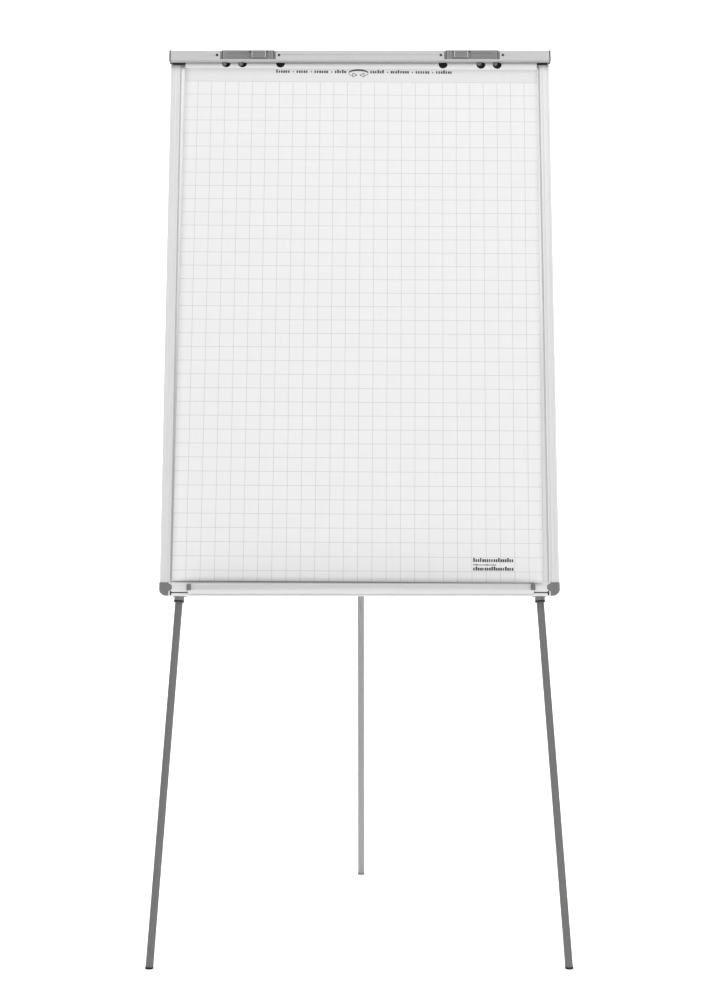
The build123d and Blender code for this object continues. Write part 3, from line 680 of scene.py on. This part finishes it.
def header_marks(work, sheet, chance):
    """A row of word-like marks with dots between them, on both sides of a turn-over sign."""
    middle = sheet.width / 2 + SIGN_CENTRE[0]
    base = sheet.height - WORD_BASE
    for side, lengths in ((-1, WORDS_LEFT), (1, WORDS_RIGHT)):
        edge = middle + side * (SIGN_SIZE[0] + SIGN_MARGIN)
        for index, strokes in enumerate(lengths):
            far = edge + side * strokes * WORD_PITCH
            word(work, sheet, min(edge, far), base, strokes, WORD_PITCH, WORD_HEIGHT, chance)
            edge = far + side * WORD_GAP
            if index < len(lengths) - 1:
                disc(work, sheet, (far + edge) / 2, base + WORD_HEIGHT / 3, DOT_RADIUS)
    turn_sign(work, sheet, (middle, sheet.height - SIGN_CENTRE[1]), SIGN_SIZE)


def imprint(work, sheet, chance):
    """Three rows of marks in the lower right corner, the middle one small."""
    for rise, strokes, pitch, height in IMPRINT_ROWS:
        start = sheet.width - IMPRINT_FROM_RIGHT
        word(work, sheet, start, rise * MM, strokes, pitch * MM, height * MM, chance)


def printed_marks(sheet, made):
    """The generic marks above the grid and in the lower corner, a thin layer on the sheet."""
    piece = new_piece("printed_marks", "top_sheet", [made["black_ink"]])
    work = bmesh.new()
    chance = random.Random(4)
    header_marks(work, sheet, chance)
    imprint(work, sheet, chance)
    close_mesh(work, piece)


# ---- painted highlights and shade on the clip units ----


class Face:
    """The front face of a node: its spans along the board's axes, and how far out it lies."""

    def __init__(self, node):
        points = [vertex.co for vertex in frame["nodes"][node].data.vertices]
        self.front = max(point.dot(OUT) for point in points)
        near = [point for point in points if point.dot(OUT) > self.front - FACE_TOLERANCE]
        self.across = (min(p.dot(ACROSS) for p in near), max(p.dot(ACROSS) for p in near))
        self.up = (min(p.dot(UP) for p in near), max(p.dot(UP) for p in near))

    def at(self, across, up, proud):
        """The place of a point at these board positions, this far out of the face."""
        return ACROSS * across + UP * up + OUT * (self.front + proud)


def plate(work, face, across, up):
    """A thin closed plate on a face, between two positions across and two up."""
    outline = [(across[0], up[0]), (across[1], up[0]), (across[1], up[1]), (across[0], up[1])]
    front = [work.verts.new(face.at(a, u, PAINT_PROUD)) for a, u in outline]
    back = [work.verts.new(face.at(a, u, -PAINT_PROUD)) for a, u in outline]
    work.faces.new(front)
    work.faces.new(back[::-1])
    for i in range(len(outline)):
        k = (i + 1) % len(outline)
        work.faces.new((front[k], front[i], back[i], back[k]))


def finish_painted_plates(work, name, body, surface):
    """Makes a piece of painted highlight or painted shade that rides on a body, out of its plates."""
    close_mesh(work, new_piece(name, body, [surface]))


def grip_ring(side, made):
    """Painted highlights round a slider's finger grip, standing in for its raised rim catching the light: bright
    at its sides, dimmer above and below.
    """
    face = Face(f"slider_{side}")
    across = (face.across[0] + RING_INSET, face.across[1] - RING_INSET)
    up = (face.up[0] + RING_INSET, face.up[1] - RING_INSET)
    inner = (across[0] + RING_WIDTH, across[1] - RING_WIDTH)
    sides = bmesh.new()
    plate(sides, face, (across[0], inner[0]), up)
    plate(sides, face, (inner[1], across[1]), up)
    finish_painted_plates(sides, f"grip_side_highlights_{side}", f"slider_{side}", made["painted_highlight"])
    rims = bmesh.new()
    plate(rims, face, inner, (up[0], up[0] + RING_WIDTH))
    plate(rims, face, inner, (up[1] - RING_WIDTH, up[1]))
    finish_painted_plates(rims, f"grip_rim_highlights_{side}", f"slider_{side}", made["dim_painted_highlight"])


def unit_ends(side, made):
    """Painted shade as dark bands at the ends of a clip unit, each with a painted highlight as a dim line on its
    inner side.
    """
    face = Face(f"clip_housing_{side}")
    up = (face.up[0] + END_MARGIN, face.up[1] - END_MARGIN)
    bands = bmesh.new()
    lines = bmesh.new()
    for end, inward in ((face.across[0], 1), (face.across[1], -1)):
        band = (end + inward * END_MARGIN, end + inward * END_LINE_INSET)
        line = (band[1], band[1] + inward * END_LINE_WIDTH)
        plate(bands, face, sorted(band), up)
        plate(lines, face, sorted(line), up)
    # the bands are painted shade in the dark plastic colour, and the lines are painted highlights
    finish_painted_plates(bands, f"unit_end_shade_{side}", "clamp_rail", made["dark_plastic"])
    finish_painted_plates(lines, f"unit_end_highlights_{side}", "clamp_rail", made["dim_painted_highlight"])


# ---- the studio ----


def sweep():
    """A plain pale floor that curves up into a backdrop."""
    bend = SWEEP_BEND
    level = SWEEP_BACK - bend
    profile = [(SWEEP_FRONT, 0.0), (level, 0.0)]
    for k in range(1, SWEEP_BEND_STEPS + 1):
        angle = math.pi / 2 * k / SWEEP_BEND_STEPS
        profile.append((level + bend * math.sin(angle), bend - bend * math.cos(angle)))
    profile.append((SWEEP_BACK, SWEEP_TOP))
    work = bmesh.new()
    sides = (-SWEEP_HALF_WIDTH, SWEEP_HALF_WIDTH)
    rows = [[work.verts.new((x, y, z - SWEEP_DROP)) for x in sides] for y, z in profile]
    for low, high in zip(rows, rows[1:]):
        face = work.faces.new((low[0], low[1], high[1], high[0]))
        face.smooth = True
    mesh = bpy.data.meshes.new("sweep")
    work.to_mesh(mesh)
    work.free()
    floor = bpy.data.objects.new("sweep", mesh)
    bpy.context.scene.collection.objects.link(floor)
    surface = Surface("studio_floor")
    cloud = surface.noise(3, 2, 0.5)
    surface.colour(surface.mix(surface.spread(cloud, 0, 1), grey(0.96), grey(0.98)))
    surface.rough(surface.spread(cloud, 0.8, 0.9))
    surface.fix(specular_ior_level=0.1)
    surface.one_sided()
    mesh.materials.append(surface.material)


def area_light(name, place, aim, size, power):
    """A rectangular lamp that looks at a point."""
    light = bpy.data.lights.new(name, "AREA")
    light.shape = "RECTANGLE"
    light.size, light.size_y = size
    light.energy = power
    lamp = bpy.data.objects.new(name, light)
    lamp.location = place
    lamp.rotation_euler = (Vector(aim) - Vector(place)).to_track_quat("-Z", "Y").to_euler()
    bpy.context.scene.collection.objects.link(lamp)


def studio():
    """Soft light from the front and above, over an even white surround."""
    sweep()
    world = bpy.data.worlds.new("studio")
    world.use_nodes = True
    background = world.node_tree.nodes["Background"]
    background.inputs["Color"].default_value = (1, 1, 1, 1)
    background.inputs["Strength"].default_value = WORLD_STRENGTH
    bpy.context.scene.world = world
    area_light("key", *KEY_LIGHT)
    area_light("backdrop", *BACKDROP_LIGHT)
    bpy.context.scene.view_settings.view_transform = "Standard"


def camera():
    """The camera stands level in front of the easel."""
    data = bpy.data.cameras.new("camera")
    data.lens = CAMERA_LENS
    data.sensor_width = CAMERA_SENSOR
    data.shift_x, data.shift_y = CAMERA_SHIFT
    eye = bpy.data.objects.new("camera", data)
    eye.location = CAMERA_PLACE
    eye.rotation_euler = (math.pi / 2, 0, 0)
    bpy.context.scene.collection.objects.link(eye)
    bpy.context.scene.camera = eye


camera()
studio()
made = materials()
dress_nodes(made)
top_sheet = Sheet("pad_top_sheet")
printed_sheet(top_sheet, made)
printed_marks(top_sheet, made)
for side in ("left", "right"):
    grip_ring(side, made)
    unit_ends(side, made)
